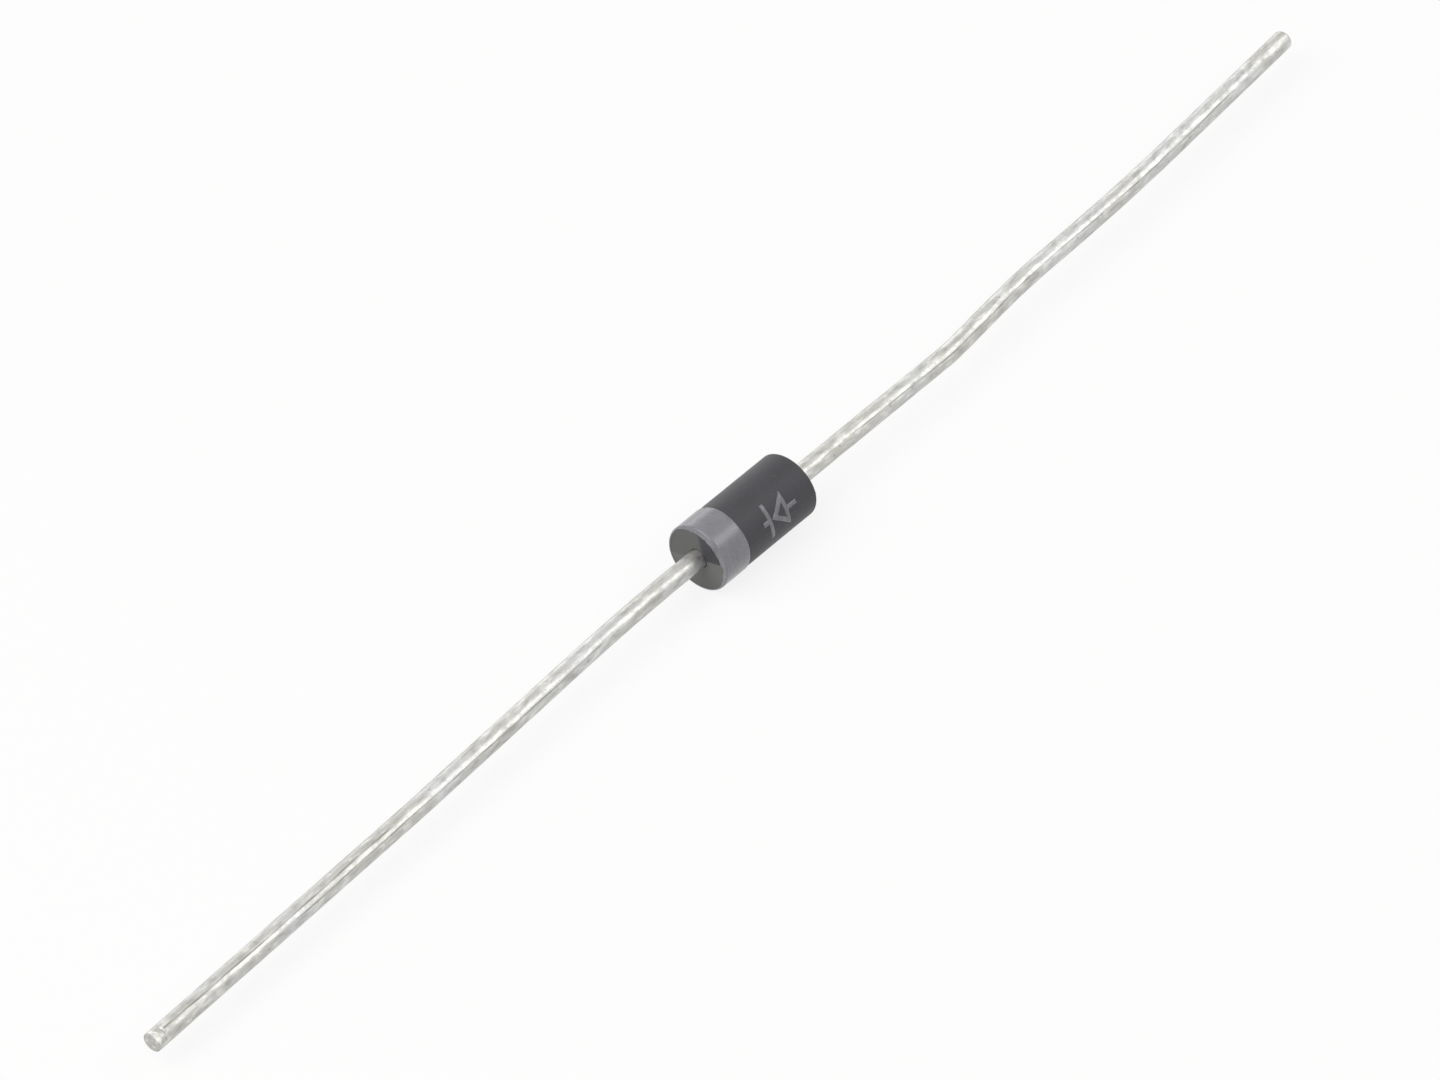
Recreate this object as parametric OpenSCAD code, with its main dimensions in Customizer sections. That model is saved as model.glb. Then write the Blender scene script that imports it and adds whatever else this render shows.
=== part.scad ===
// Axial rectifier diode: a moulded epoxy barrel round a silicon chip, with two bent wire leads.
// Millimetres. +X runs along the barrel's axis from the cathode end to the anode end, +Z is up,
// and the origin is the middle of the barrel.

/* [Barrel] */
// Diameter of the moulded barrel
body_d = 2.65; // [2.4:0.01:2.75]
// Length of the barrel, measured at its parting line
body_l = 5.1; // [4.1:0.01:5.6]
// Radius of the barrel's moulded rims
rim_r = 0.2; // [0.1:0.01:0.3]
// Lean of each half's end faces, which lets the moulding leave its mould
draft_deg = 3; // [1:0.5:5]
// Roll of the parting plane about the barrel's axis
parting_roll = -15; // [-45:1:45]
// Height of the flash along the parting line
flash_h = 0.02; // [0.01:0.005:0.04]
// Width of the flash along the parting line
flash_w = 0.06; // [0.03:0.01:0.12]
// Gap round each lead where it leaves the moulding
collar_gap = 0.05; // [0.02:0.01:0.1]
// Depth of that gap
collar_depth = 0.1; // [0.04:0.01:0.2]

/* [Ink] */
// Thickness of the printed ink
ink_t = 0.03; // [0.03:0.005:0.05]
// Width of the cathode band, from the barrel's end
band_w = 1.45; // [0.8:0.01:1.8]
// Width of the chip in the band, where it crosses the parting line
chip_w = 0.22; // [0.1:0.01:0.4]
// Length of that chip along the barrel
chip_l = 0.14; // [0.05:0.01:0.3]
// Length of the polarity mark along the barrel
mark_l = 1.7; // [1:0.05:2]
// Height of the polarity mark round the barrel
mark_h = 1.15; // [0.7:0.05:1.3]
// Width of the polarity mark's lines
mark_line = 0.16; // [0.1:0.01:0.2]
// Place of the mark's middle along the barrel
mark_x = 0.75; // [0.5:0.05:1.2]
// Roll of the mark about the barrel's axis, from straight up
mark_roll = 68; // [0:1:90]

/* [Leads] */
// Diameter of the lead wire
lead_d = 0.77; // [0.71:0.01:0.86]
// Diameter of the nail head that is pressed on each lead's inner end
head_d = 1.5; // [1.3:0.01:1.6]
// Thickness of the nail head
head_t = 0.35; // [0.2:0.01:0.5]
// Length of the cone between the head and the wire
neck_l = 0.2; // [0.1:0.01:0.3]

/* [Cathode lead] */
// Roll of the plane that the cathode lead is bent in, from +Y
cathode_roll = 196; // [0:1:359]
// Straight stretch outside the barrel, before the first bend
cathode_run_1 = 0.8; // [0.5:0.1:10]
// Angle of the first bend
cathode_bend_1_deg = 2.7; // [0.5:0.1:6]
// Centreline radius of the first bend
cathode_bend_1_r = 130; // [20:1:150]
// Straight stretch between the two bends
cathode_run_2 = 8.5; // [1:0.1:12]
// Angle of the second bend, which turns back
cathode_bend_2_deg = -0.8; // [-3:0.1:-0.2]
// Centreline radius of the second bend
cathode_bend_2_r = 80; // [20:1:150]
// Straight stretch at the cathode lead's free end
cathode_end_run = 14; // [6:0.1:18]
// Slant of the cut across the free end
cathode_cut_deg = 8; // [0:1:20]
// Width of the bevel that the cutters left beside the cut
cathode_bevel = 0.2; // [0.05:0.01:0.3]
// Roll of the cut, its bevel and its nick about the wire
cathode_cut_roll = 190; // [0:1:359]
// Distance of the cutters' nick from the free end
nick_x = 0.42; // [0.35:0.01:0.8]
// Depth of the cutters' nick
nick_depth = 0.07; // [0.02:0.01:0.12]

/* [Anode lead] */
// Roll of the plane that the anode lead is bent in, from +Y
anode_roll = -4; // [-180:1:180]
// Straight stretch outside the barrel, before the first bend
anode_run_1 = 8.8; // [0.5:0.1:12]
// Angle of the first bend
anode_bend_1_deg = 6; // [1:0.1:10]
// Centreline radius of the first bend
anode_bend_1_r = 10; // [5:1:60]
// Straight stretch between the first and second bends
anode_run_2 = 2.6; // [1:0.1:6]
// Angle of the second bend, which turns back
anode_bend_2_deg = -5; // [-8:0.1:-1]
// Centreline radius of the second bend
anode_bend_2_r = 38; // [10:1:80]
// Straight stretch between the second and third bends
anode_run_3 = 0.4; // [0.2:0.1:4]
// Angle of the third bend
anode_bend_3_deg = 3.6; // [0.5:0.1:6]
// Centreline radius of the third bend
anode_bend_3_r = 120; // [20:1:150]
// Straight stretch at the anode lead's free end
anode_end_run = 7.5; // [5:0.1:16]
// Radius that the cut rolled over the free end's rim
anode_tip_r = 0.16; // [0.05:0.01:0.17]

/* [Chip] */
// Side of the square silicon die
die_w = 1.1; // [0.7:0.01:1.25]
// Thickness of the die
die_t = 0.28; // [0.2:0.01:0.35]
// Diameter of the solder on each face of the die
solder_d = 1.0; // [0.6:0.01:1.2]
// Thickness of the solder on each face of the die
solder_t = 0.06; // [0.03:0.01:0.1]
// Cover of the junction coating over the heads' rims
coat_wall = 0.12; // [0.05:0.01:0.2]
// Reach of the junction coating along each head
coat_reach = 0.2; // [0.1:0.01:0.3]

/* [Hidden] */
$fn = 96;
// Overshoot of cutting shapes past the faces that they cut
over = 1;
body_r = body_d / 2;
lead_r = lead_d / 2;
// Each lead's head starts where the die and its solder end
head_x = die_t / 2 + solder_t;
// Each lead leaves the barrel here
end_x = body_l / 2;
neck_x = head_x + head_t + neck_l;
coat_x = head_x + coat_reach;
coat_r = norm([max(head_d, die_w * sqrt(2)) / 2 + coat_wall, coat_x]);
cathode_runs = [
    [end_x - neck_x + cathode_run_1, cathode_bend_1_deg, cathode_bend_1_r],
    [cathode_run_2, cathode_bend_2_deg, cathode_bend_2_r],
    [cathode_end_run, 0, 0],
];
anode_runs = [
    [end_x - neck_x + anode_run_1, anode_bend_1_deg, anode_bend_1_r],
    [anode_run_2, anode_bend_2_deg, anode_bend_2_r],
    [anode_run_3, anode_bend_3_deg, anode_bend_3_r],
    [anode_end_run, 0, 0],
];

// Where a bend that starts at the origin along +X ends
function bend_end(angle, r) = [r * sin(abs(angle)), sign(angle) * r * (1 - cos(angle)), 0];

// A round bar along X between two places
module bar(d, x1, x2) {
    translate([x1, 0, 0]) rotate([0, 90, 0]) cylinder(d = d, h = x2 - x1);
}

// Half outline of the barrel, from its axis outward: straight sides and round rims
module barrel_outline(grow) {
    r = rim_r + grow;
    translate([0, -end_x - grow]) square([body_r - rim_r, body_l + 2 * grow]);
    translate([0, -end_x + rim_r]) square([body_r + grow, body_l - 2 * rim_r]);
    for (side = [-1, 1])
        translate([body_r - rim_r, side * (end_x - rim_r)]) circle(r = r);
}

// Prism with a roof at each end, which gives each half its drafted end faces
module drafted_ends(grow) {
    ridge_x = end_x + grow;
    half_h = body_r + over;
    eave_x = ridge_x - half_h * tan(draft_deg);
    rotate([90, 0, 0]) linear_extrude(height = 2 * half_h, center = true) polygon([
        [ridge_x, 0], [eave_x, half_h], [-eave_x, half_h],
        [-ridge_x, 0], [-eave_x, -half_h], [eave_x, -half_h],
    ]);
}

// The barrel's outside, with its surface moved out by grow and its ends by end_grow
module barrel_outside(grow = 0, end_grow = 0) {
    intersection() {
        rotate([0, 90, 0]) rotate_extrude() barrel_outline(grow);
        rotate([parting_roll, 0, 0]) drafted_ends(end_grow);
    }
}

// Thin fin of moulding that the two mould halves leave round the parting line
module flash() {
    intersection() {
        barrel_outside(flash_h, flash_h);
        rotate([parting_roll, 0, 0])
            cube([body_l + over, body_d + over, flash_w], center = true);
    }
}

// Head, neck and straight shank of a lead, along +X, as far as the barrel's end
module lead_root() {
    bar(head_d, head_x, head_x + head_t);
    translate([head_x + head_t, 0, 0]) rotate([0, 90, 0])
        cylinder(d1 = head_d, d2 = lead_d, h = neck_l);
    bar(lead_d, head_x, end_x + over);
}

// Gap round a lead at the barrel's +X end
module collar() {
    bar(lead_d + 2 * collar_gap, end_x - collar_depth, end_x + over);
}

// A bend of the wire, from the origin along +X; a negative angle turns the other way
module bend(angle, r) {
    rotate([angle < 0 ? 180 : 0, 0, 0]) translate([0, r, 0]) rotate([0, 0, -90])
        rotate_extrude(angle = abs(angle), $fn = 1440) translate([r, 0]) circle(d = lead_d, $fn = 96);
}

// Moves what follows by v in a coarse and a fine step, so that no rounding opens a gap in the wire
module shift(v) {
    coarse = [for (c = v) round(c * 1000) / 1000];
    translate(coarse) translate(v - coarse) children();
}

// Short core inside the wire, across a joint, so that the wire stays in one piece at any size
module core() {
    bar(lead_r, -lead_r / 2, lead_r / 2);
}

// Wire along +X that follows runs of [straight length, bend angle, bend radius];
// what is passed to it is placed at the free end, pointing outward
module wire(runs, i = 0) {
    run = runs[i];
    last = i == len(runs) - 1;
    if (!last) {
        bar(lead_d, 0, run[0]);
        translate([run[0], 0, 0]) {
            core();
            bend(run[1], run[2]);
            shift(bend_end(run[1], run[2])) rotate([0, 0, run[1]]) {
                core();
                wire(runs, i + 1) children();
            }
        }
    }
    if (last)
        translate([run[0], 0, 0]) children();
}

// End stretch of the cathode lead: a slanting cut with a bevel and the cutters' nick
module cathode_end() {
    nick_side = nick_depth * sqrt(2);
    difference() {
        bar(lead_d, -cathode_end_run, 0);
        rotate([cathode_cut_roll, 0, 0]) {
            rotate([0, -cathode_cut_deg, 0]) translate([0, -lead_d, -lead_d]) cube(2 * lead_d);
            translate([-cathode_bevel, -lead_d, lead_r]) rotate([0, 45, 0])
                translate([-lead_d, 0, 0]) cube(2 * lead_d);
            translate([-nick_x, 0, lead_r]) rotate([0, 45, 0])
                cube([nick_side, lead_d, nick_side], center = true);
        }
    }
}

// End stretch of the anode lead, with its rim rolled over by the cut
module anode_end() {
    bar(lead_d, -anode_end_run, -anode_tip_r);
    bar(lead_d - 2 * anode_tip_r, -2 * anode_tip_r, 0);
    translate([-anode_tip_r, 0, 0]) rotate([0, 90, 0]) rotate_extrude()
        translate([lead_r - anode_tip_r, 0]) circle(r = anode_tip_r);
}

// Moulded epoxy barrel, with the room that its leads, chip and coating fill
module moulded_barrel() {
    color("#4a494f") difference() {
        union() {
            barrel_outside();
            flash();
        }
        for (side = [0, 1]) mirror([side, 0, 0]) {
            lead_root();
            collar();
        }
        coating_outside();
    }
}

// Printed ring at the cathode end, over the rim, chipped where it crosses the parting line
module cathode_band() {
    color("#a3a3ab") difference() {
        barrel_outside(ink_t, 0);
        barrel_outside();
        flash();
        translate([-end_x + band_w, -body_d, -body_d]) cube(2 * body_d + body_l);
        bar(body_d - 2 * rim_r, -body_l, body_l);
        rotate([parting_roll, 0, 0]) translate([-end_x, -body_r, 0])
            cube([2 * (rim_r + chip_l), body_d / 2, chip_w], center = true);
    }
}

// Stamp of the diode sign along +Z: an open triangle that points at a bar, with a line each side
module diode_sign(h) {
    tip_x = -mark_l / 4;
    base_x = mark_l / 4;
    slope = mark_h / 2 / (base_x - tip_x);
    inner_tip_x = tip_x + mark_line * norm([1, slope]) / slope;
    inner_base_x = base_x - mark_line;
    inner_half_h = (inner_base_x - inner_tip_x) * slope;
    linear_extrude(height = h) difference() {
        polygon([[tip_x, 0], [base_x, mark_h / 2], [base_x, -mark_h / 2]]);
        polygon([[inner_tip_x, 0], [inner_base_x, inner_half_h], [inner_base_x, -inner_half_h]]);
    }
    translate([tip_x - mark_line / 2, -mark_h / 2, 0]) cube([mark_line, mark_h, h]);
    translate([-mark_l / 2, -mark_line / 2, 0]) cube([mark_l / 4, mark_line, h]);
    translate([inner_base_x, -mark_line / 2, 0]) cube([mark_l / 2 - inner_base_x, mark_line, h]);
}

// Polarity mark printed on the barrel's side
module polarity_mark() {
    color("#a3a3ab") difference() {
        intersection() {
            bar(body_d + 2 * ink_t, -end_x + rim_r, end_x - rim_r);
            rotate([mark_roll, 0, 0]) translate([mark_x, 0, 0]) diode_sign(body_d);
        }
        barrel_outside();
        flash();
    }
}

// Cathode lead: nail head in the barrel and a wire bent once each way
module cathode_lead() {
    color("#cfcec8") mirror([1, 0, 0]) rotate([cathode_roll, 0, 0]) lead(cathode_runs) cathode_end();
}

// Anode lead: nail head in the barrel and a wire bent three times
module anode_lead() {
    color("#c4c3bf") rotate([anode_roll, 0, 0]) lead(anode_runs) anode_end();
}

// A lead along +X: its head, neck and wire, with the end that is passed to it
module lead(runs) {
    bar(head_d, head_x, head_x + head_t);
    translate([head_x + head_t, 0, 0]) rotate([0, 90, 0])
        cylinder(d1 = head_d, d2 = lead_d, h = neck_l);
    translate([neck_x, 0, 0]) wire(runs) children();
}

// Silicon chip, square across the barrel's axis
module silicon_die() {
    color("#5c6472") cube([die_t, die_w, die_w], center = true);
}

// Solder between the die and the cathode lead's head
module cathode_solder() {
    color("#b9bcc0") bar(solder_d, -head_x, -die_t / 2);
}

// Solder between the die and the anode lead's head
module anode_solder() {
    color("#b9bcc0") bar(solder_d, die_t / 2, head_x);
}

// Bulging outside of the coating round the chip and the heads' rims
module coating_outside() {
    intersection() {
        sphere(r = coat_r);
        cube([2 * coat_x, body_d, body_d], center = true);
    }
}

// Soft silicone coating that fills the space round the die, between the two heads
module junction_coating() {
    color("#eceae4") difference() {
        coating_outside();
        for (side = [0, 1]) mirror([side, 0, 0]) lead_root();
        silicon_die();
        cathode_solder();
        anode_solder();
    }
}

moulded_barrel();
cathode_band();
polarity_mark();
cathode_lead();
anode_lead();
silicon_die();
cathode_solder();
anode_solder();
junction_coating();
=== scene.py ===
"""Axial rectifier diode: moulded barrel, printed cathode band and mark, and two bent wire leads.

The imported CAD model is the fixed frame. The barrel, its print and both leads are rebuilt here as
finer meshes of the same forms, with the small flaws of moulded, printed and plated surfaces. The
chip, solder and coating inside the barrel keep their CAD meshes and get materials.

Lengths in this script are millimetres until a mesh is made, and metres after that.
"""

from __future__ import annotations

import logging
import math
from dataclasses import dataclass, field
from enum import Enum
from typing import Any, Callable

import bpy
import numpy as np
from mathutils import Matrix, Vector

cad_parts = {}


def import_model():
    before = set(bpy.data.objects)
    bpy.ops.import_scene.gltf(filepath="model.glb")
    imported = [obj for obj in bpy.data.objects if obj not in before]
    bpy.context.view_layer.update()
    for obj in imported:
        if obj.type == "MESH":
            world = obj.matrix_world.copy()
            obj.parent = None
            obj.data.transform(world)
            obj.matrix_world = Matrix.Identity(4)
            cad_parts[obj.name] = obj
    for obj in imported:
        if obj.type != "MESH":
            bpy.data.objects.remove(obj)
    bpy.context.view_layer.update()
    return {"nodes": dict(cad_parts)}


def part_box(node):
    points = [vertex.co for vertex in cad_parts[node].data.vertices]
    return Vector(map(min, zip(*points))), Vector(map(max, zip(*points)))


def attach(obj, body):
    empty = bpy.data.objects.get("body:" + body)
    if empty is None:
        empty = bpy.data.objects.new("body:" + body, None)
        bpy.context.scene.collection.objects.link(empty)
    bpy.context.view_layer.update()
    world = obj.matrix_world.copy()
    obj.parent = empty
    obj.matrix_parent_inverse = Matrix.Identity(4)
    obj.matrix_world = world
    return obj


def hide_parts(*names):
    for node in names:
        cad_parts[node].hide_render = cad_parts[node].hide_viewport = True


LOG = logging.getLogger("diode")
MM = 0.001
BODY = "root"
FULL_TURN = 2.0 * math.pi
WHITE = (1.0, 1.0, 1.0, 1.0)
Array = np.ndarray


# ---------------------------------------------------------------- helpers


def linear(hex_code: str) -> tuple[float, float, float, float]:
    """Turns an sRGB hex colour to linear light.

    Args:
        hex_code: Six hex digits after a hash sign.

    Returns:
        Red, green, blue and an alpha of 1.
    """
    parts = [int(hex_code[i : i + 2], 16) / 255 for i in (1, 3, 5)]
    light = [c / 12.92 if c <= 0.04045 else ((c + 0.055) / 1.055) ** 2.4 for c in parts]
    return (light[0], light[1], light[2], 1.0)


def per_mm(size_mm: float) -> float:
    """Scale of a pattern whose features are size_mm across, in a space of metres."""
    return 1.0 / (size_mm * MM)


def smoothstep(low: float, high: float, value: Array) -> Array:
    """Rises smoothly from 0 at low to 1 at high."""
    t = np.clip((value - low) / (high - low), 0.0, 1.0)
    return t * t * (3.0 - 2.0 * t)


def smooth_least(a: Array, b: Array, blend: float) -> Array:
    """Lesser of two values, with the crease between them rounded over blend."""
    t = np.clip(0.5 + 0.5 * (b - a) / blend, 0.0, 1.0)
    return b * (1.0 - t) + a * t - blend * t * (1.0 - t)


def half_turns(angle: Array) -> Array:
    """Brings angles to between minus half a turn and half a turn."""
    return np.mod(angle + math.pi, FULL_TURN) - math.pi


def ring(x: Array | float, radius: Array | float, angle: Array) -> Array:
    """Points at a place along the axis, a radius and an angle, with X, Y and Z on the last axis."""
    return np.stack(np.broadcast_arrays(x, radius * np.cos(angle), radius * np.sin(angle)), axis=-1)


def add_object(name: str, data: Any) -> bpy.types.Object:
    """Puts a new object that holds the data in the scene."""
    thing = bpy.data.objects.new(name, data)
    bpy.context.scene.collection.objects.link(thing)
    return thing


class Waviness:
    """Smooth unevenness made of seeded sine waves, the same on each run."""

    waves_per_length: float = 0.6

    def __init__(self, seed: int, waves: int = 14) -> None:
        """Draws the waves' directions and phases.

        Args:
            seed: Seed of the draw.
            waves: Number of waves that are added.
        """
        rng = np.random.default_rng(seed)
        self.turns = rng.normal(size=(waves, 3))
        self.phases = rng.uniform(0.0, FULL_TURN, waves)

    def at(self, a: Array, b: Array, c: Array | float = 0.0) -> Array:
        """Unevenness at places given in wavelengths.

        Args:
            a: First coordinate over its typical wavelength.
            b: Second coordinate over its typical wavelength.
            c: Third coordinate over its typical wavelength.

        Returns:
            Values of about -1 to 1.
        """
        total = np.zeros(np.broadcast(a, b, c).shape)
        for turn, phase in zip(self.turns, self.phases):
            travelled = turn[0] * a + turn[1] * b + turn[2] * c
            total = total + np.sin(FULL_TURN * self.waves_per_length * travelled + phase)
        return total / math.sqrt(2.0 * len(self.phases))


def make_piece(
    name: str,
    points: Array,
    faces: list[tuple[int, ...]],
    material: bpy.types.Material,
    replaced: str,
    attributes: dict[str, Array] | None = None,
) -> bpy.types.Object:
    """Makes a smooth-shaded mesh object, rides it on the body and lets it stand for its CAD node.

    Args:
        name: Name of the piece.
        points: Vertices in millimetres, one row each.
        faces: Faces as tuples of vertex numbers.
        material: Material of the whole piece.
        replaced: CAD node that the piece stands for.
        attributes: Values for each vertex, one number or three.

    Returns:
        The new object.
    """
    mesh = bpy.data.meshes.new(name)
    mesh.from_pydata((points * MM).tolist(), [], faces)
    mesh.update()
    mesh.shade_smooth()
    for key, values in (attributes or {}).items():
        kind = "FLOAT_VECTOR" if values.ndim == 2 else "FLOAT"
        field_name = "vector" if values.ndim == 2 else "value"
        data = mesh.attributes.new(key, kind, "POINT").data
        data.foreach_set(field_name, values.astype(np.float32).ravel())
    mesh.materials.append(material)
    piece = add_object(name, mesh)
    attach(piece, BODY)
    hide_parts(replaced)
    LOG.info("%s: %d vertices, %d faces", name, len(points), len(faces))
    return piece


def band_faces(rows: int, columns: int, closed_rows: bool, closed_columns: bool) -> list[tuple[int, ...]]:
    """Faces of a grid of points, stored row after row.

    Args:
        rows: Number of rows.
        columns: Number of points in a row.
        closed_rows: Whether the last row joins the first.
        closed_columns: Whether each row's last point joins its first.

    Returns:
        Faces with four corners.
    """
    row = np.arange(rows if closed_rows else rows - 1)[:, None]
    column = np.arange(columns if closed_columns else columns - 1)[None, :]
    next_row, next_column = (row + 1) % rows, (column + 1) % columns
    quads = np.stack(
        [
            row * columns + column,
            row * columns + next_column,
            next_row * columns + next_column,
            next_row * columns + column,
        ],
        axis=-1,
    ).reshape(-1, 4)
    return [tuple(q) for q in quads.tolist()]


# ---------------------------------------------------------------- finishes


def add_node(
    material: bpy.types.Material,
    kind: str,
    settings: dict[str, Any] | None = None,
    inputs: dict[str | int, Any] | None = None,
) -> bpy.types.Node:
    """Adds a shader node with its settings, values and links.

    Args:
        material: Material whose tree gets the node.
        kind: Blender's name of the node's class.
        settings: Properties to set on the node.
        inputs: For each input, a value or the output socket that feeds it.

    Returns:
        The new node.
    """
    tree = material.node_tree
    node = tree.nodes.new(kind)
    for key, value in (settings or {}).items():
        setattr(node, key, value)
    for key, value in (inputs or {}).items():
        if isinstance(value, bpy.types.NodeSocket):
            tree.links.new(value, node.inputs[key])
        else:
            node.inputs[key].default_value = value
    return node


def new_material(name: str) -> bpy.types.Material:
    """Makes an empty node material."""
    material = bpy.data.materials.new(name)
    material.use_nodes = True
    material.node_tree.nodes.clear()
    return material


def close_material(material: bpy.types.Material, shader: bpy.types.NodeSocket) -> bpy.types.Material:
    """Leads a shader to the material's output and returns the material."""
    add_node(material, "ShaderNodeOutputMaterial", inputs={"Surface": shader})
    return material


@dataclass(frozen=True)
class Layer:
    """Colour that covers what lies under it more and more as a pattern runs from start to full."""

    pattern: bpy.types.NodeSocket
    start: float
    full: float
    colour: str
    strength: float = 1.0


def lay_colours(material: bpy.types.Material, ground: str, layers: tuple[Layer, ...]) -> bpy.types.NodeSocket:
    """Lays colours over a ground colour, each by the share that its pattern gives.

    Args:
        material: Material whose tree gets the nodes.
        ground: Colour under all the layers.
        layers: Layers, the lowest one first.

    Returns:
        The socket of the finished colour.
    """
    colour: Any = linear(ground)
    for layer in layers:
        reach = {"From Min": layer.start, "From Max": layer.full, "To Max": layer.strength}
        share = add_node(material, "ShaderNodeMapRange", inputs={"Value": layer.pattern, **reach})
        sockets = {0: share.outputs[0], 6: colour, 7: linear(layer.colour)}
        colour = add_node(material, "ShaderNodeMix", {"data_type": "RGBA"}, sockets).outputs[2]
    return colour


def close_surface(
    material: bpy.types.Material,
    height: bpy.types.NodeSocket,
    relief_mm: float,
    strength: float,
    values: dict[str, Any],
) -> bpy.types.Material:
    """Ends a material with its relief and its surface shader.

    Args:
        material: Material to end.
        height: Pattern of the relief.
        relief_mm: Height of the relief.
        strength: How strongly the relief shows.
        values: Values and links of the surface shader.

    Returns:
        The material.
    """
    relief = {"Strength": strength, "Distance": relief_mm * MM, "Height": height}
    bump = add_node(material, "ShaderNodeBump", inputs=relief)
    inputs = {**values, "Normal": bump.outputs[0]}
    return close_material(material, add_node(material, "ShaderNodeBsdfPrincipled", inputs=inputs).outputs[0])


@dataclass(frozen=True)
class FilledEpoxy:
    """Transfer-moulded epoxy compound, filled with silica and carbon black.

    The cavity is spark-eroded steel, so the skin is a dull, fine grain that scatters the light.
    The resin-rich skin clouds it with slightly lighter and darker patches of violet grey. The end
    faces carry painted light, paler below the parting line, and painted shade above it on the -Y side.
    """

    dark: str = "#323136"
    light: str = "#3b393f"
    rubbed: str = "#5c5b62"
    # painted light and painted shade for the end faces
    painted_light_tone: str = "#757773"
    deep: str = "#2a292d"
    painted_light_shade_strength: float = 0.8
    speck_strength: float = 0.35
    cloud_mm: float = 1.1
    grain_mm: float = 0.09  # real grain is nearer 0.03 mm, drawn coarser so that it shows
    relief_mm: float = 0.004
    roughness: tuple[float, float] = (0.5, 0.62)

    def build(self) -> bpy.types.Material:
        """Builds the node material.

        Returns:
            The material of the barrel.
        """
        m = new_material("filled_epoxy")
        space = add_node(m, "ShaderNodeTexCoord").outputs["Object"]
        cloud, grain = (
            add_node(
                m,
                "ShaderNodeTexNoise",
                inputs={"Vector": space, "Scale": per_mm(size), "Detail": detail, "Roughness": rough},
            ).outputs["Fac"]
            for size, detail, rough in ((self.cloud_mm, 3.0, 0.55), (self.grain_mm, 4.0, 0.6))
        )
        rub, painted_light_shade = (
            add_node(m, "ShaderNodeAttribute", {"attribute_name": name}).outputs["Fac"]
            for name in ("rub", "painted_light_shade")
        )
        rub_share = add_node(m, "ShaderNodeMath", {"operation": "MULTIPLY"}, {0: rub, 1: grain})
        layers = (
            Layer(cloud, 0.35, 0.65, self.light),
            Layer(grain, 0.56, 0.78, self.rubbed, self.speck_strength),
            Layer(rub_share.outputs[0], 0.0, 1.0, self.rubbed),
            # painted light and painted shade on the end faces
            Layer(painted_light_shade, 0.0, 1.0, self.painted_light_tone, self.painted_light_shade_strength),
            Layer(painted_light_shade, 0.0, -1.0, self.deep, self.painted_light_shade_strength),
        )
        low, high = self.roughness
        rough_range = {"From Min": 0.3, "From Max": 0.7, "To Min": low, "To Max": high}
        rough = add_node(m, "ShaderNodeMapRange", inputs={"Value": cloud, **rough_range})
        values = {
            "Base Color": lay_colours(m, self.dark, layers),
            "Roughness": rough.outputs[0],
            "IOR": 1.5,
            "Sheen Weight": 0.12,
            "Sheen Roughness": 0.35,
        }
        return close_surface(m, grain, self.relief_mm, 0.5, values)


@dataclass(frozen=True)
class PrintedInk:
    """Two-part epoxy ink, rolled and stamped on the barrel and baked.

    It is satin and slightly translucent: pale violet grey, mottled where the film is thin, with
    faint streaks in the direction in which the roller turned the barrel, and the dark moulding
    shows through where it has flaked.
    """

    full: str = "#7f7f87"
    thin: str = "#75757b"
    bare: str = "#37353b"
    bare_strength: float = 0.85
    mottle_mm: float = 0.35
    streak_mm: float = 0.12
    streak_length_mm: float = 2.4
    streak_share: float = 0.3
    relief_mm: float = 0.002
    roughness: tuple[float, float] = (0.24, 0.33)

    def build(self) -> bpy.types.Material:
        """Builds the node material.

        Returns:
            The material of the band and the mark.
        """
        m = new_material("printed_ink")
        space = add_node(m, "ShaderNodeTexCoord").outputs["Object"]
        mottle = add_node(
            m,
            "ShaderNodeTexNoise",
            inputs={"Vector": space, "Scale": per_mm(self.mottle_mm), "Detail": 5.0, "Roughness": 0.6},
        ).outputs["Fac"]
        long, wide = per_mm(self.streak_length_mm), per_mm(self.streak_mm)
        stretched = add_node(m, "ShaderNodeMapping", inputs={"Vector": space, "Scale": (wide, long, long)})
        streak = add_node(
            m, "ShaderNodeTexNoise", inputs={"Vector": stretched.outputs[0], "Scale": 1.0, "Detail": 2.0}
        ).outputs["Fac"]
        both = add_node(
            m, "ShaderNodeMix", {"data_type": "FLOAT"}, {0: self.streak_share, 2: mottle, 3: streak}
        ).outputs[0]
        cover = add_node(m, "ShaderNodeAttribute", {"attribute_name": "cover"}).outputs["Fac"]
        layers = (
            Layer(both, 0.66, 0.4, self.thin),
            Layer(cover, 1.0, 0.0, self.bare, self.bare_strength),
        )
        low, high = self.roughness
        rough_range = {"From Min": 0.3, "From Max": 0.7, "To Min": low, "To Max": high}
        rough = add_node(m, "ShaderNodeMapRange", inputs={"Value": mottle, **rough_range})
        values = {
            "Base Color": lay_colours(m, self.full, layers),
            "Roughness": rough.outputs[0],
            "IOR": 1.52,
            "Coat Weight": 0.3,
            "Coat Roughness": 0.16,
        }
        return close_surface(m, both, self.relief_mm, 0.4, values)


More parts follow.
